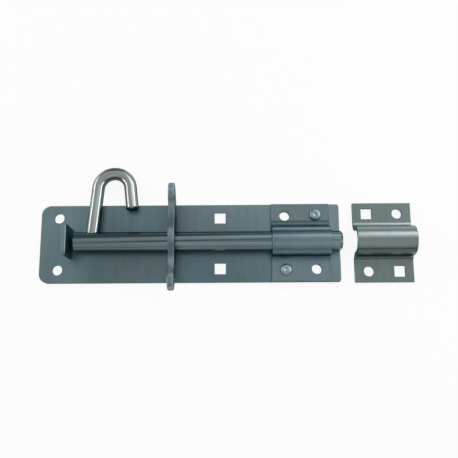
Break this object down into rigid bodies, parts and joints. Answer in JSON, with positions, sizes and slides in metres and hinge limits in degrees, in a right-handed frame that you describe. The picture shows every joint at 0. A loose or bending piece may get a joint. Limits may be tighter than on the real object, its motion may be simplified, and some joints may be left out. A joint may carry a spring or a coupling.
{
  "type": "padbolt",
  "caption": "Zinc plated padbolt: round bar with a crook handle in a guide bracket on a backplate, an upright locking plate for a padlock, and a separate keep.",
  "frame": {"origin": "middle of the backplate's back face", "axes": "+X the way the bar shoots, +Y up the door with the bar level, +Z off the door's face"},
  "size_m": [0.3103, 0.1067, 0.0324],
  "materials": {
    "sheet_zinc": "zinc plated, semi-gloss",
    "upright_zinc": "zinc plated, semi-gloss",
    "rivet_zinc": "zinc plated, semi-gloss",
    "bar_zinc": "zinc plated, semi-gloss",
    "rod_zinc": "zinc plated, semi-gloss",
    "keep_zinc": "zinc plated, semi-gloss"
  },
  "bodies": {
    "plate": {"backplate": "sheet_zinc", "end_stop": "upright_zinc", "locking_plate": "upright_zinc", "guide_bracket": "sheet_zinc", "rivet_upper": "rivet_zinc", "rivet_lower": "rivet_zinc", "keep": "keep_zinc"},
    "bolt": {"shoot_bolt": "bar_zinc"},
    "handle": {"crook_handle": "rod_zinc"}
  },
  "joints": [
    {"name": "bolt_slide", "type": "slide", "parent": "plate", "child": "bolt", "axis": [1, 0, 0], "range_m": [0, 0.055]},
    {"name": "handle_turn", "type": "hinge", "parent": "bolt", "child": "handle", "pos_m": [-0.08, 0, 0.0113], "axis": [1, 0, 0], "range_deg": [0, 189]}
  ],
  "couplings": [
    {"joint": "handle_turn", "follows": "bolt_slide", "rad_per_m": 59.9}
  ]
}
